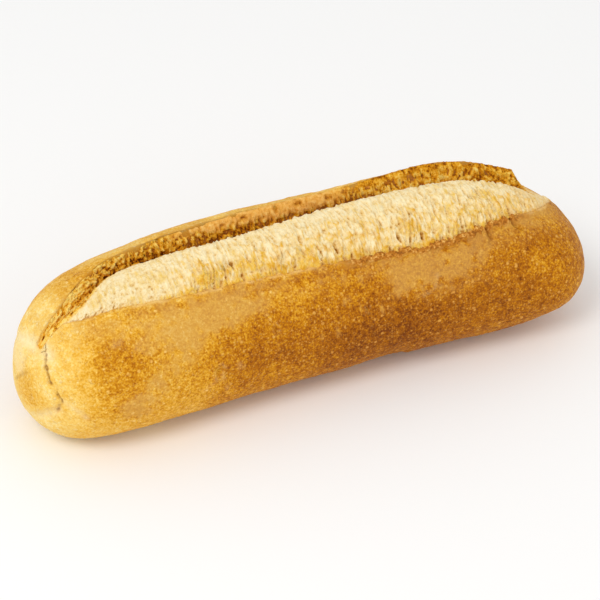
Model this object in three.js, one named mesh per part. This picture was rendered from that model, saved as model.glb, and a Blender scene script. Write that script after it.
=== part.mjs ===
// A bolillo: a slender bread roll with one long slash along its top.
// Millimetres, +Z up, +X along the roll. The origin is on the table under the
// middle of the roll. The roll is one solid piece of bread.
//
// The loaf is a round body drawn out along X. Each cross-section is a
// superellipse with its own width to the near side (-Y) and the far side (+Y)
// and its own height above and below the girth. The slash runs from one tip to
// the other: on its far side the crust has lifted into an "ear" with a steep torn
// face under its edge, on its near side a domed bloom of crumb rises out of the
// crevice and meets the near crust at the lip.
import * as THREE from 'three';

// Main sizes
const HALF_LENGTH = 90;      // the roll is 180 long
const NEAR_HALF = 26.9;      // half width to the near side at the middle
const FAR_HALF = 28.9;       // half width to the far side at the middle
const CROWN = 47.5;          // crown height at the middle, before slash and ear
const GIRTH = 19.5;          // height of the widest line
const SINK = 0.8;            // how much of the round belly is pressed flat by its own weight
const UPPER_POWER = 2.13;    // superellipse exponent above the girth
const LOWER_POWER = 2.38;    // and below it
const BEND_LEFT = -5.6;      // sideways shift of the axis at the -X tip
const BEND_RIGHT = -4.0;     // and at the +X tip

// How each side closes towards the tips: [reach, power] at -X and at +X
const TIP_POWER = 2.15;
const CAPS = {
  near: { left: [35.1, 2.0], right: [17.6, 2.0] },
  far: { left: [63.5, 1.5], right: [44.9, 1.62] },
  crown: { left: [37.1, 3.58], right: [47.2, 1.44] },
  belly: { left: [21.9, 2.77], right: [38.7, 1.95] },
};

// The slash. Each station gives, at one x: y of the lip, of the crevice and of
// the ear's edge on the unslashed body, then how far the ear is lifted, how deep
// the crevice is and how high the bloom swells, all measured from that body.
const SLASH = [
  // x,    lip,   crevice, ear,  lift, depth, bloom
  [-86,  -14.8,  -13.2, -12.6,   0.0,  0.3,  0.0],
  [-80,  -14.0,  -12.9, -11.0,   0.2,  1.5,  0.2],
  [-72,  -16.0,  -11.2,  -6.8,   0.5,  3.2,  0.6],
  [-60,  -16.4,   -2.2,   1.0,   0.8,  5.0,  1.1],
  [-45,  -16.8,    1.6,   5.1,   1.2,  6.5,  1.4],
  [-20,  -16.7,    3.1,   6.3,   2.2,  7.2,  1.5],
  [15,   -18.0,    6.7,   8.9,   1.3,  7.5,  1.7],
  [45,   -18.7,    6.0,   8.6,   2.8,  7.5,  1.7],
  [60,   -16.0,    4.4,   7.7,   3.4,  7.0,  1.5],
  [70,   -13.5,    1.4,   5.9,   3.6,  6.0,  1.3],
  [77,    -9.4,   -2.0,   6.3,   3.4,  5.0,  0.9],
  [85,    -0.8,    1.3,   4.2,   2.0,  2.0,  0.3],
];
const EAR_END = [74, 77.5];  // the ear stops short here, before the slash does
const EAR_FALL = [0.30, 0.17];  // angle over which the ear's lift dies away down the far crust, left and right
const FACE_POWER = 0.8;      // shape of the torn face between ear and crevice
const BLOOM_RISE = 0.30;     // share of the bloom's width in which it climbs out of the crevice
const LIP_STEP = 0.7;        // the bloom meets the lip this much below the crust
const LIP_ANGLE = 0.03;      // width of that step

// Folds left by shaping
const END_CRACK = { x: -83.6, width: 1.6, depth: 1.3, from: 3.05, to: 3.95 };
const SEAM_DENT = { x: 22, width: 9, stop: 27.5, depth: 0.9, at: 3.75, spread: 0.45 };

// Grid of the skin
const ROWS = 66;             // along the roll
const CRUST = 44;            // columns from the lip round the belly to the ear
const FACE = 4;              // columns down the torn face
const BLOOM = 12;            // columns over the bloom
const COLUMNS = CRUST + FACE + BLOOM;

const clamp = (v, lo, hi) => Math.min(hi, Math.max(lo, v));
const smooth = (a, b, v) => { const t = clamp((v - a) / (b - a), 0, 1); return t * t * (3 - 2 * t); };
const mix = (a, b, t) => a + (b - a) * t;
const signedPower = (v, p) => Math.sign(v) * Math.abs(v) ** p;

// Size of one side at x, as a share of its size at the middle
function cap(x, { left, right }) {
  const l = clamp((-x - (HALF_LENGTH - left[0])) / left[0], 0, 1);
  const r = clamp((x - (HALF_LENGTH - right[0])) / right[0], 0, 1);
  return ((1 - l ** left[1]) * (1 - r ** right[1])) ** (1 / TIP_POWER);
}

// y of the section's centre: the axis bends a little towards the near side
function axis(x) {
  const t = x / HALF_LENGTH;
  return (t < 0 ? BEND_LEFT : BEND_RIGHT) * t * t;
}

// Point of the unslashed body. Angle 0 faces +Y, a quarter turn is the top,
// half a turn faces -Y.
function body(x, angle) {
  const c = Math.cos(angle), s = Math.sin(angle);
  const power = 2 / (s >= 0 ? UPPER_POWER : LOWER_POWER);
  const half = c < 0 ? NEAR_HALF * cap(x, CAPS.near) : FAR_HALF * cap(x, CAPS.far);
  const rise = s >= 0 ? (CROWN - GIRTH) * cap(x, CAPS.crown) : (GIRTH + SINK) * cap(x, CAPS.belly);
  return [axis(x) + half * signedPower(c, power), GIRTH + rise * signedPower(s, power)];
}

// Angle at which the upper half of the body has this y
function angleAt(x, y) {
  const d = y - axis(x);
  const half = d < 0 ? NEAR_HALF * cap(x, CAPS.near) : FAR_HALF * cap(x, CAPS.far);
  return Math.acos(signedPower(clamp(d / Math.max(half, 1e-6), -1, 1), UPPER_POWER / 2));
}

// One column of the slash table at x, as a smooth curve through the stations
function station(x, column) {
  const last = SLASH.length - 1;
  const at = clamp(x, SLASH[0][0], SLASH[last][0]);
  let i = 0;
  while (i < last - 1 && at > SLASH[i + 1][0]) i++;
  const slope = (k) => {
    const a = SLASH[Math.max(k - 1, 0)], b = SLASH[k], c = SLASH[Math.min(k + 1, last)];
    if (k === 0 || k === last) return (c[column] - a[column]) / (c[0] - a[0]);
    const h0 = b[0] - a[0], h1 = c[0] - b[0];
    return (h0 * (c[column] - b[column]) / h1 + h1 * (b[column] - a[column]) / h0) / (h0 + h1);
  };
  const p = SLASH[i], q = SLASH[i + 1], h = q[0] - p[0], t = (at - p[0]) / h;
  return (2 * t ** 3 - 3 * t ** 2 + 1) * p[column] + (t ** 3 - 2 * t ** 2 + t) * h * slope(i)
    + (3 * t ** 2 - 2 * t ** 3) * q[column] + (t ** 3 - t ** 2) * h * slope(i + 1);
}

// Angles of ear, crevice and lip, and the slash's sizes, at x. Past its ends the
// slash is closed and its lines fan out over the tip.
function slashAt(x) {
  const open = smooth(-86, -82, x) * (1 - smooth(84, 88, x));
  const tip = Math.max(1 - smooth(-89.8, -85.5, x), smooth(84, 89.5, x));
  const short = smooth(EAR_END[0], EAR_END[1], x);
  const fall = mix(EAR_FALL[0], EAR_FALL[1], smooth(-20, 40, x));
  const top = Math.PI / 2;
  const ear = mix(angleAt(x, station(x, 3)), top - 0.3, tip);
  const crevice = mix(Math.max(angleAt(x, station(x, 2)), ear + 0.08), top, tip);
  const lip = mix(Math.max(angleAt(x, station(x, 1)), crevice + 0.1), top + 0.6, tip);
  return {
    ear, crevice, lip, fall,
    lift: station(x, 4) * open * (1 - short), depth: station(x, 5) * open * (1 - 0.85 * short), bloom: station(x, 6) * open, open,
  };
}

// Angle and displacement from the body for one column of the skin at x
function column(i, s) {
  if (i < CRUST) {
    const t = i / CRUST;
    const round = 2 * Math.PI - s.lip + s.ear;
    const angle = s.lip + round * (t - 0.07 * Math.sin(2 * Math.PI * t));
    const back = s.ear + 2 * Math.PI - angle;
    return [angle, s.lift * Math.exp(-((back / s.fall) ** 2))];
  }
  if (i < CRUST + FACE) {
    const t = (i - CRUST) / FACE;
    return [mix(s.ear, s.crevice, t), mix(s.lift, -s.depth, t ** FACE_POWER)];
  }
  const t = (i - CRUST - FACE) / (BLOOM - 1);
  const climb = 1 - (1 - clamp(t / BLOOM_RISE, 0, 1)) ** 2.2;
  return [
    mix(s.crevice, s.lip - LIP_ANGLE, t),
    -s.depth * (1 - climb) + s.bloom * Math.sin(Math.PI * clamp(t, 0, 1)) ** 0.8
      - LIP_STEP * s.open * smooth(0.75, 1, t),
  ];
}

// Folds in the crust, as a displacement at x and angle
function folds(x, angle) {
  const c = END_CRACK, d = SEAM_DENT;
  const crack = -c.depth * Math.exp(-(((x - c.x) / c.width) ** 2))
    * smooth(c.from - 0.25, c.from, angle) * (1 - smooth(c.to, c.to + 0.25, angle));
  const dent = -d.depth * Math.exp(-(((x - d.x) / d.width) ** 2)) * (1 - smooth(d.stop - 1.5, d.stop, x))
    * Math.exp(-(((angle - d.at) / d.spread) ** 2));
  return crack + dent;
}

// Point of the finished skin
function skin(x, i) {
  const [angle, lift] = column(i, slashAt(x));
  const [y, z] = body(x, angle);
  const dy = y - axis(x), dz = z - GIRTH, r = Math.hypot(dy, dz);
  const grow = r < 1e-9 ? 1 : 1 + (lift + folds(x, angle)) / r;
  return new THREE.Vector3(x, axis(x) + dy * grow, Math.max(0, GIRTH + dz * grow));
}

// A sphere's grid, with its poles at the two tips and every vertex carried to the skin
function loaf() {
  const geometry = new THREE.SphereGeometry(1, COLUMNS, ROWS);
  const position = geometry.attributes.position;
  for (let n = 0; n < position.count; n++) {
    const i = n % (COLUMNS + 1), j = Math.floor(n / (COLUMNS + 1));
    const pole = j === 0 || j === ROWS;
    const x = -HALF_LENGTH * Math.cos(Math.PI * j / ROWS);
    const v = pole ? new THREE.Vector3(x, axis(x), GIRTH) : skin(x, (COLUMNS - i) % COLUMNS);
    position.setXYZ(n, v.x, v.y, v.z);
  }
  geometry.computeBoundingBox();
  const { min, max } = geometry.boundingBox;
  geometry.translate(0, -(min.y + max.y) / 2, -min.z);
  geometry.computeVertexNormals();
  return geometry;
}

const crust = new THREE.MeshStandardMaterial({ name: 'baked_crust', color: 0xc8924a, roughness: 0.62, metalness: 0 });
const roll = new THREE.Mesh(loaf(), crust);
roll.name = 'bolillo_roll';

const root = new THREE.Group();
root.name = 'bolillo';
root.add(roll);
export default root;
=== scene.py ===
# A bolillo roll: a baked crust with a long slash, an ear of torn crust on its far side and a bloom of
# open crumb in it. Two pieces stand for the CAD loaf: "crust", the skin of the whole loaf, and "crumb",
# the torn face under the ear and the bloom. Sizes are in millimetres here and go to metres at the end.
import bpy, math
import numpy as np
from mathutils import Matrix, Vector


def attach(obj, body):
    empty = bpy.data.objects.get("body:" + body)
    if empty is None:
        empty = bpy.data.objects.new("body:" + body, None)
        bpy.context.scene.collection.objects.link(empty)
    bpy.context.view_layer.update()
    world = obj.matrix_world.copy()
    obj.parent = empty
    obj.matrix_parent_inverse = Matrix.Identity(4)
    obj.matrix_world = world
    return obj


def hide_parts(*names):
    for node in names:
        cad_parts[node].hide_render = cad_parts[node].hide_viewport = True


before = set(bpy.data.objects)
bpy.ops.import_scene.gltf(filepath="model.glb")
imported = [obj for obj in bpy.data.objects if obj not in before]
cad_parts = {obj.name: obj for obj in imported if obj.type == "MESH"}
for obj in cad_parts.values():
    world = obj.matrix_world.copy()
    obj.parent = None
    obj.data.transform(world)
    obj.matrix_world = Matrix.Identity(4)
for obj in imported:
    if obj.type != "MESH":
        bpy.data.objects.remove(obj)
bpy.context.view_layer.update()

# ---------------------------------------------------------------- the loaf, as in the CAD source
A, NEAR_HALF, FAR_HALF, CROWN, GIRTH, SINK = 90.0, 26.9, 28.9, 47.5, 19.5, 0.8
UP, LOW, TIP, BEND_L, BEND_R = 2.13, 2.38, 2.15, -5.6, -4.0
CAPS = dict(near=(35.1, 2.0, 17.6, 2.0), far=(63.5, 1.5, 44.9, 1.62),
            crown=(37.1, 3.58, 47.2, 1.44), belly=(21.9, 2.77, 38.7, 1.95))
SLASH = np.array([
    # x, lip, crevice, ear, lift, depth, bloom
    [-86, -14.8, -13.2, -12.6, 0.0, 0.3, 0.0],
    [-80, -14.0, -12.9, -11.0, 0.2, 1.5, 0.2],
    [-72, -16.0, -11.2, -6.8, 0.5, 3.2, 0.6],
    [-60, -16.4, -2.2, 1.0, 0.8, 5.0, 1.1],
    [-45, -16.8, 1.6, 5.1, 1.2, 6.5, 1.4],
    [-20, -16.7, 3.1, 6.3, 2.2, 7.2, 1.5],
    [15, -18.0, 6.7, 8.9, 1.3, 7.5, 1.7],
    [45, -18.7, 6.0, 8.6, 2.8, 7.5, 1.7],
    [60, -16.0, 4.4, 7.7, 3.4, 7.0, 1.5],
    [70, -13.5, 1.4, 5.9, 3.6, 6.0, 1.3],
    [77, -9.4, -2.0, 6.3, 3.4, 5.0, 0.9],
    [85, -0.8, 1.3, 4.2, 2.0, 2.0, 0.3]], float)


def ss(a, b, v):
    t = np.clip((v - a) / (b - a), 0, 1)
    return t * t * (3 - 2 * t)


def bump(v, at, width):
    return np.exp(-((v - at) / width) ** 2)


def mix(a, b, t):
    return a + (b - a) * t


def cap(x, c):
    l = np.clip((-x - (A - c[0])) / c[0], 0, 1)
    r = np.clip((x - (A - c[2])) / c[2], 0, 1)
    return ((1 - l ** c[1]) * (1 - r ** c[3])) ** (1 / TIP)


def axis_y(x):
    t = x / A
    return np.where(t < 0, BEND_L, BEND_R) * t * t


def spow(v, p):
    return np.sign(v) * np.abs(v) ** p


def body(x, f):
    c, s = np.cos(f), np.sin(f)
    half = np.where(c < 0, NEAR_HALF * cap(x, CAPS["near"]), FAR_HALF * cap(x, CAPS["far"]))
    rise = np.where(s >= 0, (CROWN - GIRTH) * cap(x, CAPS["crown"]), (GIRTH + SINK) * cap(x, CAPS["belly"]))
    power = np.where(s >= 0, 2 / UP, 2 / LOW)
    return axis_y(x) + half * spow(c, power), GIRTH + rise * spow(s, power)


def angle_at(x, y):
    d = y - axis_y(x)
    half = np.where(d < 0, NEAR_HALF * cap(x, CAPS["near"]), FAR_HALF * cap(x, CAPS["far"]))
    return np.arccos(spow(np.clip(d / np.maximum(half, 1e-6), -1, 1), UP / 2))


def station(x, col):
    sx, v = SLASH[:, 0], SLASH[:, col]
    h = np.diff(sx); d = np.diff(v) / h
    m = np.empty(len(sx))
    m[1:-1] = (h[:-1] * d[1:] + h[1:] * d[:-1]) / (h[:-1] + h[1:])
    m[0], m[-1] = d[0], d[-1]
    at = np.clip(x, sx[0], sx[-1])
    i = np.clip(np.searchsorted(sx, at) - 1, 0, len(sx) - 2)
    hh = sx[i + 1] - sx[i]; t = (at - sx[i]) / hh
    return ((2 * t**3 - 3 * t**2 + 1) * v[i] + (t**3 - 2 * t**2 + t) * hh * m[i]
            + (3 * t**2 - 2 * t**3) * v[i + 1] + (t**3 - t**2) * hh * m[i + 1])


def slash_at(x):
    top = np.pi / 2
    opened = ss(-86, -82, x) * (1 - ss(84, 88, x))
    tip = np.maximum(1 - ss(-89.8, -85.5, x), ss(84, 89.5, x))
    short = ss(74, 77.5, x)
    ear = mix(angle_at(x, station(x, 3)), top - 0.3, tip)
    crevice = mix(np.maximum(angle_at(x, station(x, 2)), ear + 0.08), top, tip)
    lip = mix(np.maximum(angle_at(x, station(x, 1)), crevice + 0.1), top + 0.6, tip)
    return dict(ear=ear, crevice=crevice, lip=lip, fall=mix(0.30, 0.17, ss(-20, 40, x)), lift=station(x, 4) * opened * (1 - short),
                depth=station(x, 5) * opened * (1 - 0.85 * short), bloom=station(x, 6) * opened, open=opened)


# ---------------------------------------------------------------- noise
def _hash(ix, iy, iz, seed):
    h = (ix.astype(np.int64) * 73856093) ^ (iy.astype(np.int64) * 19349663) ^ (iz.astype(np.int64) * 83492791) ^ (seed * 2654435761)
    h = h & 0xFFFFFFFF
    h = (h ^ (h >> 15)) * 2246822519 & 0xFFFFFFFF
    h = (h ^ (h >> 13)) * 3266489917 & 0xFFFFFFFF
    return (h ^ (h >> 16)) & 0xFFFFFFFF


def noise(p, seed=0):
    """Gradient noise, about -1 to 1, at points p of shape (..., 3)"""
    c = np.floor(p); d = p - c; c = c.astype(np.int64)
    w = d * d * d * (d * (d * 6 - 15) + 10)
    out = 0
    for ox in (0, 1):
        for oy in (0, 1):
            for oz in (0, 1):
                h = _hash(c[..., 0] + ox, c[..., 1] + oy, c[..., 2] + oz, seed)
                gx = (h & 1023) / 511.5 - 1; gy = ((h >> 10) & 1023) / 511.5 - 1; gz = ((h >> 20) & 1023) / 511.5 - 1
                dot = gx * (d[..., 0] - ox) + gy * (d[..., 1] - oy) + gz * (d[..., 2] - oz)
                wx = w[..., 0] if ox else 1 - w[..., 0]
                wy = w[..., 1] if oy else 1 - w[..., 1]
                wz = w[..., 2] if oz else 1 - w[..., 2]
                out = out + dot * wx * wy * wz
    return out * 1.75


def fbm(p, octaves, seed=0, gain=0.5):
    out, amp, total = 0, 1.0, 0.0
    for k in range(octaves):
        out = out + amp * noise(p * 2.03**k, seed + 17 * k); total += amp * amp; amp *= gain
    return out / np.sqrt(total)


def cells(p, seed=0, jitter=0.9):
    """Cellular noise: distance to the nearest and second nearest feature point, and the nearest cell's random number"""
    c = np.floor(p).astype(np.int64)
    f1 = np.full(p.shape[:-1], 9.0); f2 = f1.copy(); rnd = np.zeros(p.shape[:-1])
    for ox in (-1, 0, 1):
        for oy in (-1, 0, 1):
            for oz in (-1, 0, 1):
                q = c + np.array([ox, oy, oz])
                h = _hash(q[..., 0], q[..., 1], q[..., 2], seed)
                j = np.stack([(h & 1023) / 1023.0, ((h >> 10) & 1023) / 1023.0, ((h >> 20) & 1023) / 1023.0], -1)
                pt = q + 0.5 + (j - 0.5) * jitter
                d = np.sqrt(((p - pt) ** 2).sum(-1))
                nearer = d < f1
                f2 = np.where(nearer, f1, np.minimum(f2, d))
                rnd = np.where(nearer, (_hash(q[..., 0], q[..., 1], q[..., 2], seed + 7) & 0xFFFF) / 65535.0, rnd)
                f1 = np.where(nearer, d, f1)
    return f1, f2, rnd


def line_distance(p, pts):
    """Distance from points p to a polyline, and how far along it the nearest point is, 0 to 1"""
    pts = np.array(pts, float)
    seg = np.linalg.norm(np.diff(pts, axis=0), axis=1); run = np.concatenate([[0], np.cumsum(seg)])
    best = np.full(p.shape[:-1], 1e9); along = np.zeros(p.shape[:-1])
    for k in range(len(pts) - 1):
        a, b = pts[k], pts[k + 1]; ab = b - a
        t = np.clip(((p - a) @ ab) / (ab @ ab), 0, 1)
        d = np.linalg.norm(p - (a + t[..., None] * ab), axis=-1)
        near = d < best
        best = np.where(near, d, best); along = np.where(near, (run[k] + t * seg[k]) / run[-1], along)
    return best, along


# ---------------------------------------------------------------- mesh helpers
def rows_by_arc(lo, hi, count, weight=None):
    """x of count + 1 rows, evenly spaced along the loaf's outline, closer where weight is larger"""
    x = lo + (hi - lo) * (1 - np.cos(np.linspace(0, np.pi, 6001))) / 2
    r = 27 * cap(x, (30, 2.0, 30, 2.0))
    step = np.hypot(np.diff(x), np.diff(r))
    if weight is not None:
        step = step * weight((x[1:] + x[:-1]) / 2)
    s = np.concatenate([[0], np.cumsum(step)]); s /= s[-1]
    return np.interp(np.linspace(0, 1, count + 1), s, x)


def vertex_normals(P):
    """Outward normals of a grid whose second axis closes on itself"""
    du = np.roll(P, -1, 1) - np.roll(P, 1, 1)
    dv = np.gradient(P, axis=0)
    n = np.cross(dv, du)
    n /= np.linalg.norm(n, axis=-1, keepdims=True) + 1e-12
    centre = P.mean(1, keepdims=True)
    if (n * (P - centre)).sum() < 0:
        n = -n
    return n


OFFSET_Y = 0.0


def closed_mesh(name, P, poles, attributes, u, v):
    """A closed tube of rings P (rows, columns, 3) with a pole at each end. Attributes are (rows, columns) arrays."""
    R, C = P.shape[:2]
    co = np.concatenate([P.reshape(-1, 3), np.array(poles, float).reshape(-1, 3)])
    co = (co + np.array([0, OFFSET_Y, 0])) / 1000
    idx = np.arange(R * C).reshape(R, C)
    nxt = np.roll(idx, -1, 1)
    quads = np.stack([idx[:-1], nxt[:-1], nxt[1:], idx[1:]], -1).reshape(-1, 4)
    first = np.stack([np.full(C, R * C), nxt[0], idx[0]], -1)
    last = np.stack([np.full(C, R * C + 1), idx[-1], nxt[-1]], -1)
    # texture layout
    vv = np.broadcast_to(v[None, :-1], (R, C)); vn = np.broadcast_to(v[None, 1:], (R, C))
    uu = np.broadcast_to(u[1:-1, None], (R, C))
    quv = np.stack([np.stack([uu[:-1], vv[:-1]], -1), np.stack([uu[:-1], vn[:-1]], -1),
                    np.stack([uu[1:], vn[1:]], -1), np.stack([uu[1:], vv[1:]], -1)], 2).reshape(-1, 4, 2)
    mid = (v[:-1] + v[1:]) / 2
    fuv = np.stack([np.stack([np.full(C, u[0]), mid], -1), np.stack([uu[0], vn[0]], -1), np.stack([uu[0], vv[0]], -1)], 1)
    luv = np.stack([np.stack([np.full(C, u[-1]), mid], -1), np.stack([uu[-1], vv[-1]], -1), np.stack([uu[-1], vn[-1]], -1)], 1)
    # facing out
    a, b, c = co[quads[:, 0]], co[quads[:, 1]], co[quads[:, 2]]
    centre = co.mean(0)
    if (np.cross(b - a, c - a) * (a - centre)).sum() < 0:
        quads, quv = quads[:, ::-1], quv[:, ::-1]
        first, fuv, last, luv = first[:, ::-1], fuv[:, ::-1], last[:, ::-1], luv[:, ::-1]
    loops = np.concatenate([quads.ravel(), first.ravel(), last.ravel()]).astype(np.int32)
    uvs = np.concatenate([quv.reshape(-1, 2), fuv.reshape(-1, 2), luv.reshape(-1, 2)])
    totals = np.concatenate([np.full(len(quads), 4), np.full(2 * C, 3)]).astype(np.int32)
    starts = np.concatenate([[0], np.cumsum(totals)[:-1]]).astype(np.int32)
    me = bpy.data.meshes.new(name)
    me.vertices.add(len(co)); me.vertices.foreach_set("co", co.astype(np.float32).ravel())
    me.loops.add(len(loops)); me.loops.foreach_set("vertex_index", loops)
    me.polygons.add(len(totals)); me.polygons.foreach_set("loop_start", starts)
    me.polygons.foreach_set("use_smooth", np.ones(len(totals), bool))
    layer = me.uv_layers.new(name="OFBake")
    layer.uv.foreach_set("vector", uvs.astype(np.float32).ravel())
    for key, arr in attributes.items():
        flat = np.concatenate([arr.ravel(), [arr[0].mean(), arr[-1].mean()]])
        att = me.attributes.new(key, "FLOAT", "POINT")
        att.data.foreach_set("value", flat.astype(np.float32))
    me.update(calc_edges=True)
    if me.validate(verbose=False):
        print("mesh", name, "was repaired")
    ob = bpy.data.objects.new(name, me)
    bpy.context.scene.collection.objects.link(ob)
    print(name, "triangles", 2 * len(quads) + 2 * C)
    return ob


def grow(x, f, delta):
    """Points of the section surface at angle f, moved delta out from the section's centre"""
    y, z = body(x, f)
    yc = axis_y(x)
    dy, dz = y - yc, z - GIRTH
    r = np.hypot(dy, dz) + 1e-9
    return np.stack([x + 0 * f, yc + dy * (1 + delta / r), GIRTH + dz * (1 + delta / r)], -1)


# ---------------------------------------------------------------- shared shape of the slash
def ragged(x):
    """Small wandering of the lip and of the ear's edge along the roll, in radians"""
    p = np.stack([x / 9.0, 0 * x, 0 * x], -1); q = np.stack([x / 2.6, 0 * x + 5, 0 * x], -1)
    away = ss(-80, -60, x) * (1 - ss(74, 84, x))
    right = ss(0, 12, x) * (1 - ss(58, 70, x))
    lip = away * (0.014 * noise(p, 3) + 0.010 * (0.9 + right) * noise(q, 4) + (0.008 + 0.012 * right) * noise(q * 2.3, 9))
    ear = away * (0.018 * noise(p, 5) + 0.012 * noise(q, 6))
    return lip, ear


def macro(x, f, s):
    """Displacement of torn face and bloom at angle f: s holds the slash's angles and sizes"""
    face = np.clip((f - s["ear"]) / (s["crevice"] - s["ear"]), 0, 1)
    over = np.clip((f - s["crevice"]) / (s["lip"] - s["crevice"]), 0, 1)
    wall = mix(s["lift"], -s["depth"], face ** 0.8)
    climb = 1 - (1 - np.clip(over / 0.30, 0, 1)) ** 2.2
    dome = (-s["depth"] * (1 - climb) + s["bloom"] * np.sin(np.pi * over) ** 0.8
            - 0.7 * s["open"] * ss(0.75, 1, over))
    return np.where(f < s["crevice"], wall, dome), face, over


# Folds and marks on the crust, as points in the CAD's frame before centring
END_CRACK = [(-83.9, -14.6, 35.6), (-83.9, -16.1, 34.0), (-83.9, -18.7, 29.8), (-83.7, -19.8, 27.1), (-82.5, -21.2, 26.0),
             (-82.5, -21.7, 23.6), (-81.5, -22.6, 21.6), (-82.9, -21.5, 17.9)]
END_SEAM = [(-88.6, 2.0, 30.5), (-87.7, -3.4, 32.5), (-86.9, -8.0, 34.4), (-85.5, -11.7, 35.3), (-83.9, -14.6, 35.6), (-83.1, -16.8, 34.4)]
END_FOOT = [(-82.9, -21.5, 17.9), (-84.9, -19.4, 16.1), (-86.7, -16.2, 13.1), (-87.0, -9.0, 10.6)]
END_FOLD = [(-81.1, -22.9, 21.7), (-78.3, -24.7, 19.1), (-75.7, -25.8, 16.1)]
LIP_CRACK_1 = [(53.3, -17.8, 41.2), (53.7, -19.1, 40.1), (54.1, -20.2, 39.1), (53.1, -21.2, 38.3), (52.5, -21.7, 37.8)]
LIP_CRACK_2 = [(61.7, -15.8, 40.7), (62.7, -17.0, 39.8), (63.9, -18.3, 38.8), (65.5, -19.1, 37.9)]
WRINKLE = [(29.0, -18.6, 41.0), (32.3, -19.2, 40.6), (34.5, -20.1, 39.6), (36.9, -20.5, 39.4), (41.7, -20.3, 39.9), (46.7, -20.1, 39.9), (51.5, -19.4, 40.1)]
DIMPLES = [((-35.9, -27.7, 22.2), 1.0, 0.8), ((-17.3, -25.5, 30.1), 0.55, 0.6), ((11.3, -25.7, 28.9), 0.55, 0.6),
           ((-33.7, -27.4, 15.3), 0.6, -0.35), ((-29.7, -27.4, 22.1), 0.7, -0.35), ((60.2, -15.6, 41.0), 0.8, -0.7)]


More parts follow.
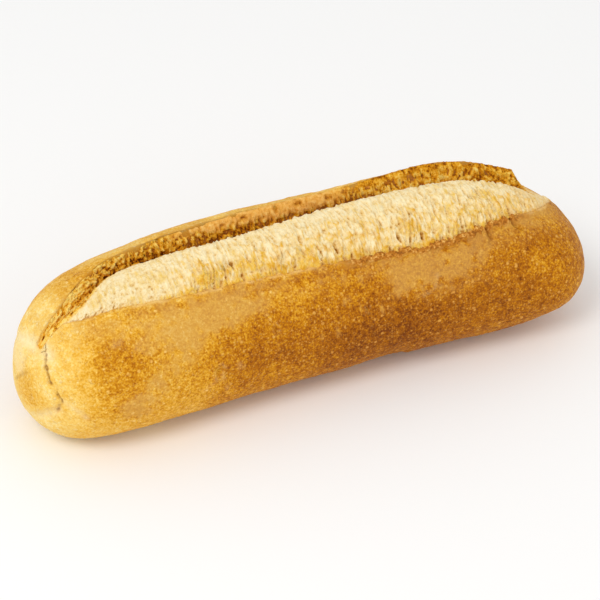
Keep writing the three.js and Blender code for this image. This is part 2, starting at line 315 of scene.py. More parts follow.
def make_crust():
    rows = 440
    cols_skin, cols_in = ((212, 12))
    weight = lambda x: 1 + 0.55 * ss(-70, -78, x) * 1.0 + 0.35 * bump(x, 58, 9)
    x1 = rows_by_arc(-A, A, rows, weight)[1:-1]
    x = x1[:, None]
    s = slash_at(x1); s = {k: v[:, None] for k, v in s.items()}
    lip_r, ear_r = ragged(x1)
    lip, ear = s["lip"] + lip_r[:, None], s["ear"] + ear_r[:, None]
    # columns: from the lip round the belly to the ear, then down into the slash and back under the lip
    t = np.arange(cols_skin + 1) / cols_skin
    warp = t - 0.055 * np.sin(2 * np.pi * t) - 0.02 * np.sin(4 * np.pi * t)
    f_skin = lip + (2 * np.pi - lip + ear) * warp[None, :]
    back = ear + 2 * np.pi - f_skin
    d_skin = s["lift"] * np.exp(-((back / s["fall"]) ** 2))
    k = np.arange(1, cols_in + 1)[None, :]
    half = cols_in // 2
    f_in = np.where(k <= half, mix(ear, s["crevice"], np.clip(k / half, 0, 1) ** 1.3),
                    mix(s["crevice"], lip, 1 - np.clip(1 - (k - half) / (cols_in + 1 - half), 0, 1) ** 1.3))
    m_in, _, _ = macro(x, f_in, s)
    edge = np.minimum(np.abs(f_in - ear), np.abs(lip - f_in)) * 27
    d_in = m_in - 3.6 * np.clip(edge / 1.2, 0, 1) * s["open"] - 0.25 * s["open"]
    f = np.concatenate([f_skin, f_in + 2 * np.pi], 1)
    delta = np.concatenate([d_skin, d_in], 1)
    C = f.shape[1]
    skin = np.concatenate([np.ones_like(f_skin), np.zeros_like(f_in) + (1 - s["open"])], 1)
    P = grow(np.broadcast_to(x, f.shape), np.mod(f, 2 * np.pi), delta)
    ang = np.mod(f, 2 * np.pi)
    N = vertex_normals(P)
    # how far each point is from the lip and from the ear's edge along the skin, in mm
    r = np.hypot(P[..., 1] - axis_y(x), P[..., 2] - GIRTH)
    from_lip = (f - lip) * r
    from_ear = (ear + 2 * np.pi - f) * r
    X, Y, Z = P[..., 0], P[..., 1], P[..., 2]
    ends = ss(-89, -80, X) * (1 - ss(80, 89, X))

    h = 0
    # loose undulation of a proved and baked skin
    h = h + 0.30 * fbm(P / 17.0, 2, 11) * skin + 0.11 * fbm(P / 6.0, 2, 12) * skin
    # blisters and goose-flesh
    h = h + 0.060 * noise(P / 1.9, 13) * skin + 0.050 * noise(P / 1.15, 14) * skin
    # raised, slightly rolled edge of the lip, thicker and torn on the right
    right = ss(2, 14, X) * (1 - ss(60, 74, X))
    h = h + (0.22 + 0.45 * right) * np.exp(-(np.clip(from_lip, 0, None) / (0.8 + 0.5 * right)) ** 2) * (1 + 0.5 * noise(P / np.array([2.2, 2.0, 2.0]), 23)) * skin * s["open"]
    h = h - (0.16 + 0.36 * right) * bump(from_lip, 3.0, 1.3) * skin * s["open"]
    h = h + right * skin * np.exp(-(from_lip / 2.4) ** 2) * (0.36 * noise(P / np.array([3.4, 1.5, 1.5]), 15) + 0.50 * noise(P / 1.3, 16) + 0.26 * noise(P / 0.8, 24))
    # ear: the skin puckers just behind its edge
    h = h + skin * np.exp(-(from_ear / 5.0) ** 2) * s["open"] * (0.35 * noise(P / np.array([6.0, 2.5, 2.5]), 18) + 0.12 * noise(P / 1.4, 19))
    # wrinkle under the lip on the right
    wr, wa = line_distance(P, WRINKLE)
    wrink = np.exp(-((wr + 0.25 * noise(P / 1.6, 22)) / 0.7) ** 2) * (1 - 0.6 * wa)
    h = h - 0.75 * wrink * skin
    # folds of the left end
    dc, ac = line_distance(P, END_CRACK)
    wob = dc + 0.38 * noise(P / 1.1, 21)
    crack = np.exp(-(wob / 0.62) ** 2)
    h = h - 0.95 * crack * (0.6 + 0.4 * ss(0.3, 0.6, ac)) * (0.75 + 0.45 * noise(P / 2.0, 91)) * skin + 0.5 * bump(dc, 2.2, 1.1) * skin * (X < -83.4)
    dse, ase = line_distance(P, END_SEAM)
    seam = np.exp(-(dse / 1.7) ** 2)
    h = h - 1.1 * seam * skin
    dfo, afo = line_distance(P, END_FOOT)
    foot = np.exp(-(dfo / 1.4) ** 2)
    h = h - 0.8 * foot * skin
    dfd, _ = line_distance(P, END_FOLD)
    fold = np.exp(-(dfd / 0.8) ** 2)
    h = h - 0.25 * fold * skin
    dfl, _ = line_distance(P, [(-89.9, -6.0, 20.5), (-89.9, -7.4, 21.8), (-89.1, -10.8, 25.2), (-88.0, -12.6, 27.0)])
    fline = np.exp(-((dfl + 0.3 * noise(P / 1.3, 88)) / 0.6) ** 2)
    h = h - 0.35 * fline * skin
    flap = np.exp(-(((X + 88) / 4.0) ** 2 + ((Y + 15.5) / 6.0) ** 2 + ((Z - 23) / 8.0) ** 2))
    h = h + 0.4 * flap * skin
    # cracks that run down from the lip on the right
    d1, a1 = line_distance(P, LIP_CRACK_1); d2, a2 = line_distance(P, LIP_CRACK_2)
    c12 = np.maximum(np.exp(-((d1 + 0.12 * noise(P / 1.1, 25)) / 0.60) ** 2) * (1 - 0.7 * a1), np.exp(-((d2 + 0.12 * noise(P / 1.1, 26)) / 0.60) ** 2) * (1 - 0.7 * a2))
    h = h - 1.3 * c12 * skin
    # dimples and crumbs
    pit = np.zeros_like(X); rim = np.zeros_like(X)
    for at, size, depth in DIMPLES:
        dd = np.linalg.norm((P - np.array(at)) * np.array([1.0, 0.7, 0.62]), axis=-1)
        dd = dd * (1 + 0.35 * noise(P / (1.6 * size) + 5, 27))
        pit += np.sign(depth) * np.exp(-(dd / size) ** 2) * min(1, abs(depth) / 0.6)
        rim += np.exp(-((dd - 1.6 * size) / (0.42 * size)) ** 2) * (depth > 0.5) * ss(-0.25, 0.45, noise(P / (1.5 * size), 28)) + 0.9 * np.exp(-(dd / size) ** 2) * (depth < 0)
        h = h - depth * np.exp(-(dd / size) ** 2) * skin + 0.25 * np.exp(-((dd - 1.7 * size) / (0.7 * size)) ** 2) * skin * (depth > 0.5)
    # raised scar on the near side
    scar, sa = line_distance(P, [(34.3, -24.2, 33.9), (33.7, -25.0, 32.1), (33.1, -25.6, 30.7), (31.3, -25.9, 29.6), (29.3, -26.1, 28.9)])
    scar = np.exp(-((scar + 0.2 * noise(P / 1.0, 29)) / 0.55) ** 2)
    h = h + 0.3 * scar * skin
    scratch, _ = line_distance(P, [(-37.6, -27.6, 20.6), (-36.6, -27.8, 19.6), (-38.6, -27.8, 18.0), (-41.5, -27.9, 16.4)])
    scratch = np.exp(-((scratch + 0.2 * noise(P / 0.9, 30)) / 0.5) ** 2)
    h = h + 0.2 * scratch * skin
    # seam pinched into the lower near side, then the skin bulges again
    dent = np.exp(-((X - 22) / 9) ** 2) * (1 - ss(26.3, 27.3, X)) * bump(ang, 3.75, 0.45)
    h = h - 0.9 * dent * skin
    crease, _ = line_distance(P, [(26.8, -22.0, 5.0), (27.0, -25.0, 9.5), (28.4, -26.6, 14.5), (31.0, -27.2, 19.0)])
    crease = np.exp(-(crease / 0.8) ** 2)
    h = h - 0.12 * crease * skin
    # rolled rim low on the right end
    rimr, _ = line_distance(P, [(86.0, -17.5, 15.5), (84.0, -21.0, 13.2), (80.5, -24.0, 11.4), (75.0, -25.6, 9.0), (66.0, -25.8, 7.0)])
    rimr = np.exp(-(rimr / 1.1) ** 2)
    h = h - 0.45 * rimr * skin

    h = h * (0.35 + 0.65 * ss(0, 3, np.minimum(X + A, A - X)))
    P = P + N * h[..., None]
    P[..., 2] = np.where(P[..., 2] < 0.35, np.maximum(P[..., 2] * 0.5, 0.0), P[..., 2])
    P[..., 2] = np.maximum(P[..., 2], 0.0)

    # ---- how far each place is baked, 0 pale to 1 dark, with some painted light and painted shade mixed in
    big = 0.6 * fbm(P / 21.0, 3, 31); mid = 0.6 * fbm(P / 8.0, 3, 32); fine = 0.6 * fbm(P / 3.0, 3, 33)
    near = 1 - ss(-8, 4, Y)
    W = P + 1.6 * np.stack([noise(P / 7.0, 34), noise(P / 7.0 + 9, 35), noise(P / 7.0 + 4, 36)], -1) + 0.8 * np.stack([noise(P / 2.6, 37), noise(P / 2.6 + 9, 38), noise(P / 2.6 + 4, 39)], -1)
    WX, WZ = W[..., 0], W[..., 2]
    low = 1 - ss(4, 30, Z)
    bake_and_painted_light = 0.43 + 0.09 * ss(-60, 10, X) + 0.10 * ss(-10, 40, X)
    bake_and_painted_light = bake_and_painted_light + near * (0.24 * bump(WX, 4, 36) * bump(WZ, 20, 12.5) + 0.10 * bump(WX, 34, 26) * bump(WZ, 15, 10) + 0.06 * bump(WX, 66, 15) * bump(WZ, 23, 12))
    bake_and_painted_light = bake_and_painted_light + 0.05 * near * np.exp(-((X + 52) / 9) ** 2) * bump(Z, 22, 9) - 0.05 * near * (1 - ss(-46, -30, X)) + 0.07 * near * bump(WX, -24, 12) * bump(WZ, 26, 8)
    # golden area on the left, with a sharp edge against the dry patches
    bake_and_painted_light = bake_and_painted_light + near * 0.15 * bump(WX, -64, 9.5) * ss(12, 17, WZ) * (1 - ss(36, 41, WZ))
    # paler towards the left end; the paler band low on the near left is painted light from below
    bake_and_painted_light = bake_and_painted_light - 0.25 * (1 - ss(-86, -66, X)) - 0.10 * (1 - ss(3, 12, Z)) * near * (1 - ss(-60, -30, X))
    # far side: even, a little paler, and paler still near the ear: partly the skin's own tan, partly painted light on a
    # side that faces away from the key light
    bake_and_painted_light = np.where(Y > -2, mix(bake_and_painted_light, 0.50 - 0.26 * np.exp(-(from_ear / 15.0) ** 2) + 0.10 * big + 0.06 * ss(-40, 60, X) - 0.1 * (1 - ss(-84, -60, X)), ss(-2, 8, Y)), bake_and_painted_light)
    bake_and_painted_light = bake_and_painted_light + 0.10 * big + 0.09 * mid + 0.07 * fine
    # a darker band in the groove just below the lip's raised edge, on the left: painted shade
    bake_and_painted_light = bake_and_painted_light + 0.14 * bump(from_lip, 2.4, 1.4) * skin * ss(-66, -56, X) * (1 - ss(-2, 12, X)) * (1 + 0.6 * noise(P / 5.0, 40))
    # smooth pale patches where the skin stayed dry
    pale = near * (1.1 * bump(WX, -44, 12) * bump(WZ, 36.5, 4.0) * (1 - ss(-34, -22, WX)) + 1.0 * bump(WX, -30, 9) * bump(WZ, 38, 3.4)
                   + 1.0 * bump(WX, 40, 12) * bump(WZ, 35.0, 6.0) + 0.8 * bump(WX, 26, 8) * bump(WZ, 34.5, 5.0) + 0.40 * ss(32, 42, Z))
    # paler near the ear on the far side: partly the skin's own tan, partly painted light
    pale = pale + 0.42 * ss(-4, 6, Y) * ss(-80, -60, X) * np.exp(-(from_ear / 15.0) ** 2) + 0.8 * near * bump(X, 74, 15) * np.exp(-(from_lip / 5.0) ** 2) * skin
    dapple = fbm(P / np.array([2.6, 2.6, 5.0]), 2, 89)
    pale = pale + near * 0.75 * ss(0.15, 0.8, dapple) * bump(WX, 6, 24) * bump(WZ, 30, 9)
    dp, _ = line_distance(W, [(-62.0, -28.5, 17.0), (-54.5, -28.7, 23.0), (-48.1, -27.8, 27.6), (-43.1, -26.7, 33.0)])
    pale = pale + 0.8 * near * np.exp(-(dp / 4.0) ** 2) * ss(4, 14, Z)
    pale = ss(0.05, 1.05, pale * (1 + 0.7 * mid + 1.7 * fine))
    # a thin light line where the dry patch lifts from the golden skin
    edge_light = 0.4 * bump(pale, 0.4, 0.12) * bump(WX, -62, 7) * near * ss(0.0, 0.5, noise(P / 3.0, 81) + 0.3)
    bake_and_painted_light = bake_and_painted_light * (1 - 0.18 * pale)
    # creases that stayed pale, and the flap between them
    blond = np.clip(np.maximum.reduce([np.exp(-((dse + 0.5 * noise(P / 2.0, 85)) / 2.2) ** 2), 0.55 * np.exp(-((dfo + 0.4 * noise(P / 1.6, 86)) / 1.5) ** 2), 0.40 * np.exp(-((dfd + 0.3 * noise(P / 1.4, 87)) / 0.9) ** 2)]), 0, 1)
    hollow = ss(0.25, 0.6, np.exp(-(((X + 89) / 5.0) ** 2 + ((Y + 6.5) / 5.5) ** 2 + ((Z - 28.6) / 4.6) ** 2)) * (1 + 0.3 * noise(P / 3.0, 83)))
    blond = np.clip(np.maximum(blond, 0.55 * hollow) * skin, 0, 1)
    bake_and_painted_light = bake_and_painted_light + 0.20 * np.exp(-(((X + 88) / 5) ** 2 + ((Y + 15.5) / 5) ** 2 + ((Z - 20) / 5) ** 2))
    bake_and_painted_light = np.where((skin > 0) | (np.abs(X) > 80), bake_and_painted_light, 0.85)
    # dark: painted shade in the cracks, the left end's fold line, the dimples and along the ear's edge
    dark = np.clip(np.maximum.reduce([0.85 * np.exp(-(wob / 0.36) ** 2) * ss(0.0, 0.12, ac) * ss(-0.55, 0.15, noise(P / 2.0, 91)), 0.95 * c12 ** 1.5, 0.3 * fline, 0.40 * np.exp(-(from_ear / 0.45) ** 2) * s["open"] * ss(-62, -46, X), 0.35 * np.clip(pit, 0, 1) ** 1.5]), 0, 1) * skin
    torn = np.clip(1.1 * right * (1 - ss(0.9, 1.9, from_lip + 0.7 * noise(P / 2.2, 71))) + 0.45 * np.exp(-(from_ear / 0.55) ** 2) * s["open"], 0, 1) * skin
    # a painted highlight along the lip's raised edge on the left
    lipline = np.exp(-((from_lip + 0.25 * noise(P / 1.8, 82)) / 0.5) ** 2) * skin * s["open"] * ss(-80, -60, X) * (1 - 0.8 * right) * ss(-0.5, 0.4, noise(P / 3.2, 92))
    light = np.clip(np.maximum.reduce([0.50 * rim, 0.40 * scar, 0.40 * scratch, 0.9 * edge_light]), 0, 1) * skin * (0.75 + 0.5 * noise(P / 0.9, 84))
    u = np.concatenate([[0], np.cumsum(np.linalg.norm(np.diff(P[:, 40], axis=0), axis=1))])
    u = np.concatenate([[0], (u + 3) / (u[-1] + 6), [1]])
    arc = np.linalg.norm(np.diff(P[len(P) // 2], axis=0), axis=1)
    arc = np.concatenate([arc, [1.0]]) * np.concatenate([np.where(np.abs(warp - 0.42) < 0.17, 0.55, 1.0), np.full(cols_in, 0.3)])
    v = np.concatenate([[0], np.cumsum(arc)]); v /= v[-1]
    poles = [(-A, axis_y(-A), GIRTH), (A, axis_y(A), GIRTH)]
    return closed_mesh("crust", P, poles, dict(bake_and_painted_light=bake_and_painted_light, pale=pale, blond=blond, dark=dark, torn=torn, lipline=lipline, light=light), 0.01 + 0.98 * u, 0.01 + 0.98 * v)


def make_crumb():
    rows = 640
    cols_top, cols_under = ((142, 10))
    x1 = np.linspace(-85.5, 87.0, rows + 1)[1:-1]; x = x1[:, None]
    s = slash_at(x1); s = {k: v[:, None] for k, v in s.items()}
    closing = (ss(-85.5, -80, x) * (1 - ss(83.5, 87, x)))
    pad = 0.06
    f0, f1 = s["ear"] - pad, s["lip"] + pad
    t = np.arange(cols_top + 1) / cols_top
    f = f0 + (f1 - f0) * t[None, :]
    m, face, over = macro(x, f, s)
    reach = 0.30 * ss(-50, 0, x)
    outside = np.maximum((s["ear"] - f) * 27 - reach, (f - s["lip"]) * 27)
    sunk = m - 1.6 * np.clip((outside + 0.15) / 1.3, 0, 1) - 2.2 * (1 - closing)
    X = np.broadcast_to(x, f.shape)
    P = grow(X, f, sunk)
    N = np.cross(np.gradient(P, axis=0), np.gradient(P, axis=1)); N /= np.linalg.norm(N, axis=-1, keepdims=True) + 1e-12
    if N[..., 2].mean() < 0:
        N = -N
    across = np.concatenate([np.zeros((len(x1), 1)), np.cumsum(np.linalg.norm(np.diff(P, axis=1), axis=-1), axis=1)], 1)
    width = across[:, -1:]
    onface = (1 - ss(0.06, 0.14, f - s["crevice"])) * (1 - ss(75.5, 78.0, x))
    bloom = 1 - onface
    # strands of crumb run across the slash, drawn out more towards the lip and the right
    Q = np.stack([X, across, 0 * X], -1)
    drift = Q + np.stack([1.1 * noise(Q / 9.0, 41) + 0.35 * noise(Q / 3.0, 42), 1.0 * noise(Q / 8.0, 43), 0 * X], -1)
    stretch = ss(-58, -28, X)
    strand_a = noise(drift / np.array([1.25, 5.5, 1.0]), 44)
    strand_b = noise(drift / np.array([2.4, 8.0, 1.0]) + 3.3, 45)
    strand_c = noise(drift / np.array([0.75, 3.2, 1.0]) + 6.1, 58)
    ridge = np.clip(1 - 2.8 * np.abs(strand_a), -0.55, 1)
    clump = fbm(Q / np.array([1.9, 2.3, 1.0]), 3, 46, 0.7)
    crumbs = noise(Q / 0.85 + 7, 47)
    f1c, f2c, rc = cells(drift / np.array([1.5, 3.0, 1.0]) + np.array([0, 0, 0.5]), 48, 0.9)
    hole = np.clip((0.40 - f1c) / 0.40, 0, 1) ** 0.8 * (rc > 0.35) * (0.4 + rc)
    f1d, f2d, rd = cells(Q / np.array([1.25, 1.5, 1.0]) + np.array([0.3, 0.7, 0.5]), 49, 0.9)
    pore = np.clip((0.42 - f1d) / 0.42, 0, 1) ** 0.8 * (rd > 0.40)
    # open net of larger bubbles whose walls stand proud as loops
    n1, n2, nr = cells(drift / np.array([3.4, 4.6, 1.0]) + np.array([0.4, 0.2, 0.5]), 59, 0.95)
    walls = np.exp(-((n2 - n1) / 0.16) ** 2)
    crest = bump(over, 0.26, 0.20)
    near_lip = ss(0.40, 0.85, over)
    amp = (0.70 + 0.22 * near_lip) * (1 - 0.25 * crest)
    fine = amp * (stretch * (0.66 * ridge + 0.26 * strand_b + 0.34 * strand_c) + (1 - 0.5 * stretch) * 0.46 * clump + 0.24 * crumbs)
    fine = fine + 0.34 * (walls - 0.25) * stretch * ss(0.25, 0.55, over)
    fine = fine - (0.22 + 0.10 * near_lip * ss(-30, 0, X)) * (0.35 + 0.65 * stretch) * hole - 0.50 * pore * (1 - 0.5 * stretch)
    # toasted lumps in the left half and a deep hole between two of them
    lump = bump(X, -34, 6) * bump(over, 0.76, 0.13) + 0.9 * bump(X, -18, 5) * bump(over, 0.80, 0.12) + 0.7 * bump(X, -50, 6) * bump(over, 0.62, 0.14) + 0.6 * bump(X, -66, 4) * bump(over, 0.6, 0.2)
    lump = lump * (1 + 0.6 * noise(Q / 2.4, 62))
    for hx, ho, hs, hd in ((-25.6, 0.70, 0.8, 1.4), (6.2, 0.84, 0.6, 0.7), (29.0, 0.87, 0.5, 0.45), (50.5, 0.90, 0.5, 0.7)):
        fine = fine - hd * np.exp(-(((X - hx + 3 * (over - ho)) / hs) ** 2 + ((over - ho) / 0.06) ** 2))
    # the bloom's far edge is scalloped where strands end over the crevice
    scallop = noise(np.stack([X / 2.4, 0 * X, 0 * X + 2], -1), 50) + 0.6 * noise(np.stack([X / 1.1, 0 * X, 0 * X + 4], -1), 57)
    hb = fine * (0.45 + 0.55 * ss(0.06, 0.20, over)) + 0.55 * lump + 0.36 * scallop * bump(over, 0.12, 0.12)
    hb = hb * (1 - 0.55 * ss(66, 80, X))
    # torn face: rough clumps, a smoother porous terrace above in the middle, dark and craggy below
    F = np.stack([X, across, 0 * X], -1)
    craggy = fbm((F + 0.5 * np.stack([noise(F / 1.5, 63), noise(F / 1.5 + 5, 64), 0 * X], -1)) / np.array([1.7, 1.5, 1.0]) + 11, 3, 51, 0.75)
    g1, g2, rg = cells(F / np.array([1.7, 1.3, 1.0]) + np.array([0.1, 0.4, 0.5]), 52, 0.95)
    facepit = np.clip((0.45 - g1) / 0.45, 0, 1) ** 0.8 * (rg > 0.45)
    deep = mix(0.10, 0.26, ss(-34, 6, X))
    terrace = ss(-41, -32, X) * (1 - ss(10, 24, X)) * (1 - ss(0.0, 0.10, face - deep + 0.09 * noise(F / 3.6, 53) + 0.10 * noise(F / 1.3, 65)))
    b1, b2, rb = cells(F / np.array([3.8, 2.2, 1.0]) + np.array([0.2, 0.45, 0.5]), 66, 0.9)
    bubble = np.clip((0.40 - b1) / 0.20, 0, 1) * (rb > 0.30) * terrace
    ff = (1 - 0.62 * terrace) * (1.15 * craggy + 0.45 * crumbs) - (0.80 - 0.45 * terrace) * facepit - 1.25 * bubble
    hf = ff + 0.45 * terrace - 0.45 * (1 - terrace) * bump(face, 0.50, 0.16) * ss(-50, -38, X) * (1 - ss(24, 38, X))
    edge_in = mix(ss(-0.02, 0.05, face), 0.22 + 0.78 * ss(0.0, 0.16, face), ss(-50, 0, X))
    hf = hf * mix(0.62, 1.0, ss(-76, -50, X))
    hf = (hf * edge_in + 0.36 * (1 - ss(0.05, 0.30, face)) * ss(-50, 0, X)) * (1 - 0.7 * ss(0.80, 1, face))
    hide = np.clip(1 - outside / 0.8, 0, 1)
    h = (hb * bloom * ss(0.02, 0.12, over) + hf * onface) * hide * closing
    P = P + N * h[..., None]
    P[..., 2] = np.minimum(P[..., 2], 51.5)

    # under the slash: a shallow keel that stays inside the crust's channel
    k = np.arange(1, cols_under + 1)[None, :]
    half = cols_under // 2
    fu = np.where(k <= half, mix(f1, s["crevice"], k / half), mix(s["crevice"], f0, (k - half) / (cols_under + 1 - half)))
    mu, _, _ = macro(x, fu, s)
    du = np.minimum(mu, 0) - 1.6 - 1.8 * np.sin(np.pi * k / (cols_under + 1)) - 2.2 * (1 - closing)
    U = grow(np.broadcast_to(x, fu.shape), fu, du)
    P = np.concatenate([P, U], 1)
    z0 = np.zeros_like(U[..., 0])

    # ---- colour fields
    # height also paints shade: the materials darken the crumb's low places and pores
    height = np.clip(0.55 + np.where(onface > 0.5, ff * edge_in / 2.2, fine / 1.7), 0, 1)
    height = mix(0.5, height, hide)
    patch = 0.6 * fbm(Q / np.array([7.0, 5.0, 1.0]), 3, 61)
    toast_b = 0.22 + 0.26 * ss(0.35, 0.95, over) * stretch + 0.30 * np.clip(lump, 0, 1) + 0.40 * patch + 0.12 * ss(35, 75, X) - 0.30 * ss(60, 80, X)
    toast_b = toast_b + 0.35 * ss(0.88, 0.98, over) + 0.22 * (walls - 0.2) * stretch * ss(0.25, 0.55, over)
    grey = ss(38, 46, X) * (1 - ss(56, 64, X)) * bump(face, 0.62, 0.25)
    # toast on the torn face, partly real browning and partly painted shade: darker in its lower band and darkest at its
    # foot by the crevice
    face_toast_and_shade = 0.66 - 0.10 * terrace + 0.26 * (1 - terrace) * ss(0.35, 0.7, face) + 0.55 * (1 - terrace) * ss(0.25, 0.45, face) * ss(-60, -46, X) * (1 - ss(16, 30, X)) - 0.34 * grey + 0.20 * patch - 0.44 * (1 - ss(-80, -44, X)) - 0.20 * (1 - ss(-84, -62, X)) + 0.06 * ss(56, 68, X) + 0.35 * (1 - ss(0.0, 0.12, face)) * ss(10, 30, X)
    toast_and_shade = np.clip(np.where(onface > 0.5, face_toast_and_shade, toast_b), 0, 1)
    tan = np.maximum(terrace * onface, 0.55 * ss(56, 84, X) * (1 - onface))
    # past the ear's end the crumb fades into crust
    aside = np.clip((s["crevice"] + 0.04 - f) / (s["crevice"] - s["ear"] + 0.04), 0, 1)
    rim = np.clip(ss(0.15, 0.80, aside + 0.12 * noise(Q / 1.6, 93)) * ss(75.0, 77.5, X) + ss(81.0, 84.5, X + 0.8 * noise(Q / 1.8, 94)), 0, 1)
    att = dict(height=height, toast_and_shade=toast_and_shade, face=onface, tan=tan, rim=rim)
    att = {k2: np.concatenate([v2, z0 + dict(height=0.3, toast_and_shade=0.8, face=1.0, tan=0.0, rim=0.0)[k2]], 1) for k2, v2 in att.items()}
    u = np.linspace(0, 1, rows + 1)
    arc = across[len(x1) // 2]; v = np.concatenate([arc / arc[-1] * 0.93, np.linspace(0.93, 1, cols_under + 2)[1:]])
    p0 = grow(np.array(-85.5), np.array(float(((f0 + f1) / 2)[0, 0])), np.array(-3.5)); p1 = grow(np.array(87.0), np.array(float(((f0 + f1) / 2)[-1, 0])), np.array(-3.5))
    return closed_mesh("crumb", P, [p0, p1], att, 0.01 + 0.98 * u, 0.01 + 0.98 * v)


# ---------------------------------------------------------------- materials
def lin(r, g, b, a=1.0):
    c = [v / 255 for v in (r, g, b)]
    return tuple(v / 12.92 if v <= 0.04045 else ((v + 0.055) / 1.055) ** 2.4 for v in c) + (a,)


class Nodes:
    def __init__(self, name):
        self.mat = bpy.data.materials.new(name); self.mat.use_nodes = True
        self.t = self.mat.node_tree; self.n = self.t.nodes
        for nd in list(self.n):
            self.n.remove(nd)
        self.out = self.n.new("ShaderNodeOutputMaterial")
        self.bsdf = self.n.new("ShaderNodeBsdfPrincipled")
        self.t.links.new(self.bsdf.outputs[0], self.out.inputs["Surface"])
        self.tc = self.n.new("ShaderNodeTexCoord")

    def link(self, a, b):
        self.t.links.new(a, b)

    def put(self, socket, v):
        if hasattr(v, "is_output"):
            self.link(v, socket)
        else:
            socket.default_value = v

    def attr(self, name):
        nd = self.n.new("ShaderNodeAttribute"); nd.attribute_name = name
        return nd.outputs["Fac"]

    def scaled(self, sx, sy, sz, offset=(0, 0, 0)):
        """Object coordinates divided by a size in millimetres on each axis"""
        nd = self.n.new("ShaderNodeMapping")
        self.link(self.tc.outputs["Object"], nd.inputs["Vector"])
        nd.inputs["Scale"].default_value = (1000 / sx, 1000 / sy, 1000 / sz)
        nd.inputs["Location"].default_value = offset
        return nd.outputs[0]

    def noise(self, size, detail=2.0, rough=0.55, offset=(0, 0, 0), stretch=(1, 1, 1), distort=0.0):
        nd = self.n.new("ShaderNodeTexNoise")
        self.link(self.scaled(size * stretch[0], size * stretch[1], size * stretch[2], offset), nd.inputs["Vector"])
        nd.inputs["Scale"].default_value = 1.0; nd.inputs["Detail"].default_value = detail
        nd.inputs["Roughness"].default_value = rough; nd.inputs["Distortion"].default_value = distort
        return nd.outputs["Fac"]

    def voronoi(self, size, offset=(0, 0, 0), feature="F1", stretch=(1, 1, 1)):
        nd = self.n.new("ShaderNodeTexVoronoi"); nd.feature = feature
        self.link(self.scaled(size * stretch[0], size * stretch[1], size * stretch[2], offset), nd.inputs["Vector"])
        nd.inputs["Scale"].default_value = 1.0
        return nd

    def math(self, op, a, b=0.0, clamp=False):
        nd = self.n.new("ShaderNodeMath"); nd.operation = op; nd.use_clamp = clamp
        self.put(nd.inputs[0], a); self.put(nd.inputs[1], b)
        return nd.outputs[0]

    def remap(self, v, a, b, lo=0.0, hi=1.0, smooth=True):
        nd = self.n.new("ShaderNodeMapRange"); nd.interpolation_type = "SMOOTHSTEP" if smooth else "LINEAR"
        self.put(nd.inputs[0], v); nd.inputs[1].default_value = a; nd.inputs[2].default_value = b
        nd.inputs[3].default_value = lo; nd.inputs[4].default_value = hi
        return nd.outputs[0]

    def blend(self, fac, a, b, mode="MIX"):
        nd = self.n.new("ShaderNodeMix"); nd.data_type = "RGBA"; nd.blend_type = mode
        self.put(nd.inputs[0], fac); self.put(nd.inputs[6], a); self.put(nd.inputs[7], b)
        return nd.outputs[2]

    def ramp(self, fac, stops):
        nd = self.n.new("ShaderNodeValToRGB"); cr = nd.color_ramp
        while len(cr.elements) < len(stops):
            cr.elements.new(0.5)
        for e, (p, c) in zip(cr.elements, stops):
            e.position = p; e.color = c
        self.put(nd.inputs[0], fac)
        return nd.outputs[0]

    def bumped(self, height, distance, strength=1.0, normal=None):
        nd = self.n.new("ShaderNodeBump"); nd.inputs["Strength"].default_value = strength
        nd.inputs["Distance"].default_value = distance
        self.put(nd.inputs["Height"], height)
        if normal is not None:
            self.link(normal, nd.inputs["Normal"])
        return nd.outputs[0]


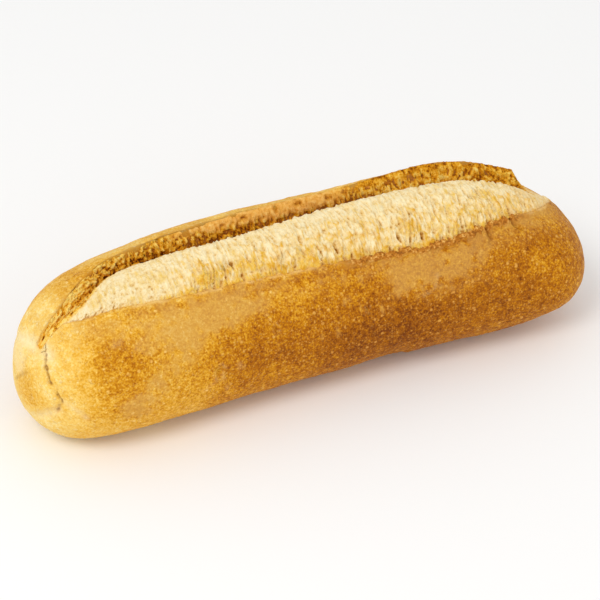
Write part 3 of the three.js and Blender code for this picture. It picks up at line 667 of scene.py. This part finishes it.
def crust_material():
    m = Nodes("baked_crust")
    bake_and_painted_light, pale, blond, dark, torn, lipline, light = (m.attr(k) for k in ("bake_and_painted_light", "pale", "blond", "dark", "torn", "lipline", "light"))
    mott = m.noise(4.5, 3, 0.6, (3, 1, 7)); grain = m.noise(1.3, 3, 0.62, (8, 2, 5)); tiny = m.noise(0.60, 2, 0.55, (1, 9, 4))
    # fine pale blisters: dry cream specks on the darker skin
    v1 = m.voronoi(1.05, (2, 5, 1)); v2 = m.voronoi(2.3, (7, 1, 3)); v3 = m.voronoi(0.68, (4, 4, 8))
    def dots_of(v, lo, hi, a, b):
        nd = m.n.new("ShaderNodeSeparateColor"); m.link(v.outputs["Color"], nd.inputs[0])
        return m.math("MULTIPLY", m.remap(v.outputs["Distance"], lo, hi, 1, 0), m.remap(nd.outputs[0], a, b, 0.0, 1.0))
    dots = m.math("MAXIMUM", dots_of(v1, 0.16, 0.42, 0.45, 0.95), m.math("MULTIPLY", dots_of(v2, 0.14, 0.28, 0.25, 0.7), 1.25))
    dots = m.math("MAXIMUM", dots, m.math("MULTIPLY", dots_of(v3, 0.18, 0.45, 0.25, 0.9), 0.75))
    dots = m.math("MULTIPLY", dots, m.remap(pale, 0.2, 0.9, 1.0, 0.6))
    quiet = m.math("MULTIPLY", m.remap(pale, 0.1, 0.9, 1.0, 0.95), m.remap(bake_and_painted_light, 0.12, 0.5, 0.55, 1.0))
    level = m.math("ADD", bake_and_painted_light, m.math("MULTIPLY", m.math("SUBTRACT", mott, 0.5), 0.26))
    level = m.math("ADD", level, m.math("MULTIPLY", quiet, m.math("MULTIPLY", m.math("SUBTRACT", grain, 0.5), 0.72)))
    level = m.math("ADD", level, m.math("MULTIPLY", quiet, m.math("MULTIPLY", m.math("SUBTRACT", tiny, 0.5), 0.80)))
    level = m.math("ADD", level, 0.055, clamp=True)
    col = m.ramp(level, [(0.00, lin(255, 234, 164)), (0.20, lin(249, 206, 104)), (0.40, lin(232, 172, 48)),
                         (0.58, lin(206, 136, 10)), (0.76, lin(174, 101, 0)), (1.0, lin(122, 60, 0))])
    # dry smooth patches
    col = m.blend(m.math("MULTIPLY", pale, 0.54), col, lin(206, 156, 84))
    speck = m.ramp(level, [(0.1, lin(255, 232, 168)), (0.45, lin(246, 196, 100)), (0.9, lin(224, 152, 60))])
    col = m.blend(m.math("MULTIPLY", dots, 0.62), col, speck)
    # pale creases, light scars, a painted highlight on the lip's raised edge, the torn brown lip, and painted shade in
    # cracks, dimples and along the ear's edge
    col = m.blend(m.math("MULTIPLY", m.math("MULTIPLY", blond, m.remap(grain, 0.3, 0.62, 0.55, 1.0)), 0.86), col, lin(255, 238, 188))
    col = m.blend(m.math("MULTIPLY", light, 0.7), col, lin(244, 206, 140))
    # painted highlight along the lip's raised edge
    col = m.blend(m.math("MULTIPLY", lipline, 0.55), col, lin(250, 214, 142))
    torncol = m.ramp(m.math("ADD", m.math("MULTIPLY", grain, 0.6), m.math("MULTIPLY", tiny, 0.4)), [(0.38, lin(122, 60, 8)), (0.47, lin(172, 100, 24)), (0.54, lin(204, 132, 46)), (0.63, lin(246, 196, 108))])
    col = m.blend(m.math("MULTIPLY", torn, 0.85), col, torncol)
    # painted shade: cracks, the left end's fold line, dimples and a line along the ear's edge go dark brown
    col = m.blend(dark, col, lin(140, 80, 6))
    m.link(col, m.bsdf.inputs["Base Color"])
    rough = m.remap(m.math("ADD", m.math("MULTIPLY", grain, 0.5), m.math("MULTIPLY", pale, 0.5)), 0.1, 0.8, 0.50, 0.75)
    m.link(rough, m.bsdf.inputs["Roughness"])
    m.bsdf.inputs["Specular IOR Level"].default_value = 0.11
    hgt = m.math("ADD", m.math("MULTIPLY", dots, 0.30), m.math("MULTIPLY", grain, 0.9))
    hgt = m.math("ADD", hgt, m.math("MULTIPLY", tiny, 0.4))
    m.link(m.bumped(hgt, 0.00046, 1.0), m.bsdf.inputs["Normal"])
    return m.mat


def crumb_material():
    m = Nodes("open_crumb")
    height, toast_and_shade, face, tan, rim = (m.attr(k) for k in ("height", "toast_and_shade", "face", "tan", "rim"))
    grain = m.noise(0.9, 3, 0.65, (4, 4, 1)); tiny = m.noise(0.45, 2, 0.6, (6, 3, 2)); wide = m.noise(4.0, 3, 0.6, (9, 0, 2)); speck = m.noise(1.4, 2, 0.5, (2, 7, 5))
    streak = m.noise(1.0, 2, 0.55, (5, 1, 6), (0.75, 3.2, 2.6), 0.4)
    level = m.math("ADD", height, m.math("MULTIPLY", m.math("SUBTRACT", grain, 0.5), 0.85))
    level = m.math("ADD", level, m.math("MULTIPLY", m.math("SUBTRACT", tiny, 0.5), 0.25), clamp=True)
    t = m.math("ADD", toast_and_shade, m.math("MULTIPLY", m.math("SUBTRACT", wide, 0.5), 0.45))
    t = m.math("ADD", t, m.math("MULTIPLY", m.math("SUBTRACT", speck, 0.5), 0.55))
    t = m.math("ADD", t, m.math("MULTIPLY", m.math("SUBTRACT", streak, 0.5), 1.2))
    # open crumb: painted shade makes the pores and low places dark, cream on the walls, and on toasted places golden on
    # the ridges
    cream = m.ramp(level, [(0.02, lin(168, 116, 44)), (0.16, lin(214, 168, 92)), (0.32, lin(238, 206, 142)),
                           (0.50, lin(250, 226, 172)), (0.72, lin(255, 238, 194)), (1.0, lin(255, 240, 190))])
    gold = m.ramp(level, [(0.02, lin(150, 92, 22)), (0.18, lin(206, 150, 62)), (0.34, lin(232, 192, 116)),
                          (0.52, lin(243, 208, 120)), (0.72, lin(243, 198, 84)), (1.0, lin(226, 164, 46))])
    bloom = m.blend(m.remap(t, 0.12, 0.80), cream, gold)
    # torn crumb under the ear; painted shade darkens its recesses and low places, and the foot of the face by the
    # crevice
    torn_t = m.math("ADD", m.math("ADD", level, 0.04), m.math("MULTIPLY", m.math("SUBTRACT", toast_and_shade, 0.70), -0.60))
    torn_t = m.math("ADD", torn_t, m.math("MULTIPLY", m.math("SUBTRACT", speck, 0.5), 1.3))
    torn_t = m.math("ADD", torn_t, m.math("MULTIPLY", m.math("SUBTRACT", tiny, 0.5), 0.5), clamp=True)
    torn = m.ramp(torn_t, [(0.05, lin(94, 42, 0)), (0.22, lin(150, 82, 2)), (0.38, lin(204, 130, 10)), (0.55, lin(228, 160, 30)), (0.78, lin(246, 194, 74)), (1.0, lin(250, 214, 116))])
    tancol = m.ramp(level, [(0.05, lin(150, 84, 14)), (0.28, lin(206, 138, 46)), (0.50, lin(240, 176, 86)), (0.85, lin(255, 212, 132))])
    torn = m.blend(m.math("MULTIPLY", tan, 0.80), torn, tancol)
    bloom = m.blend(m.math("MULTIPLY", tan, m.math("SUBTRACT", 1.0, face)), bloom, lin(240, 200, 132))
    col = m.blend(face, bloom, torn)
    # where the crumb fades into crust, painted shade darkens the low places
    skin = m.ramp(level, [(0.1, lin(170, 98, 6)), (0.4, lin(200, 132, 24)), (0.7, lin(226, 164, 56))])
    col = m.blend(rim, col, skin)
    m.link(col, m.bsdf.inputs["Base Color"])
    m.bsdf.inputs["Roughness"].default_value = 0.85
    m.bsdf.inputs["Specular IOR Level"].default_value = 0.12
    hgt = m.math("ADD", m.math("MULTIPLY", grain, 0.8), m.math("MULTIPLY", tiny, 0.5))
    m.link(m.bumped(hgt, 0.0005, 1.0), m.bsdf.inputs["Normal"])
    return m.mat


# ---------------------------------------------------------------- build
_x = rows_by_arc(-A, A, 400)[1:-1]
_y, _ = body(_x[:, None], np.linspace(0, 2 * np.pi, 361)[None, :])
OFFSET_Y = -(_y.min() + _y.max()) / 2
print("offset", OFFSET_Y)

crust = make_crust()
crust.data.materials.append(crust_material())
crumb = make_crumb()
crumb.data.materials.append(crumb_material())
for piece in (crust, crumb):
    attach(piece, "root")
    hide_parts("bolillo_roll")

# ---------------------------------------------------------------- floor, light, camera
me = bpy.data.meshes.new("floor")
me.from_pydata([(-6, -6, 0), (6, -6, 0), (6, 6, 0), (-6, 6, 0)], [], [(0, 1, 2, 3)])
floor = bpy.data.objects.new("floor", me); bpy.context.scene.collection.objects.link(floor)
fm = bpy.data.materials.new("pale_floor"); fm.use_nodes = True
fb = fm.node_tree.nodes["Principled BSDF"]
fb.inputs["Base Color"].default_value = (0.95, 0.95, 0.945, 1); fb.inputs["Roughness"].default_value = 0.9
fb.inputs["Specular IOR Level"].default_value = 0.1
me.materials.append(fm)

world = bpy.data.worlds.new("studio"); bpy.context.scene.world = world; world.use_nodes = True
bg = world.node_tree.nodes["Background"]; bg.inputs[0].default_value = (1.0, 1.0, 1.0, 1); bg.inputs[1].default_value = 0.80


def area(name, loc, target, size, power, color=(1, 1, 1)):
    d = bpy.data.lights.new(name, "AREA"); d.shape = "DISK"; d.size = size; d.energy = power; d.color = color
    o = bpy.data.objects.new(name, d); bpy.context.scene.collection.objects.link(o)
    o.location = loc
    o.rotation_euler = (Vector(target) - Vector(loc)).to_track_quat("-Z", "Y").to_euler()
    return o


area("key", (-0.55, -0.35, 0.85), (0, 0, 0.02), 0.5, 3.3, (1.0, 0.985, 0.96))
area("fill", (0.6, -0.9, 0.5), (0, 0, 0.02), 0.7, 1.0)

AZ, EL, DIST, SCALE = math.radians(-23.08), math.radians(37.0), 0.700, 3.344
back = Vector((math.sin(AZ) * math.cos(EL), -math.cos(AZ) * math.cos(EL), math.sin(EL)))
right = Vector((math.cos(AZ), math.sin(AZ), 0.0))
up = back.cross(right)
aim = Vector((0, OFFSET_Y / 1000, 0.023)) + right * 0.000828 + up * -0.004169
cam_data = bpy.data.cameras.new("camera")
cam_data.sensor_width = 36.0
cam_data.lens = SCALE * DIST * 1000 / 600 * 36.0
cam_data.clip_start, cam_data.clip_end = 0.01, 50
cam = bpy.data.objects.new("camera", cam_data); bpy.context.scene.collection.objects.link(cam)
cam.location = aim + back * DIST
cam.rotation_euler = back.to_track_quat("Z", "Y").to_euler()
bpy.context.scene.camera = cam
bpy.context.scene.view_settings.view_transform = "Standard"
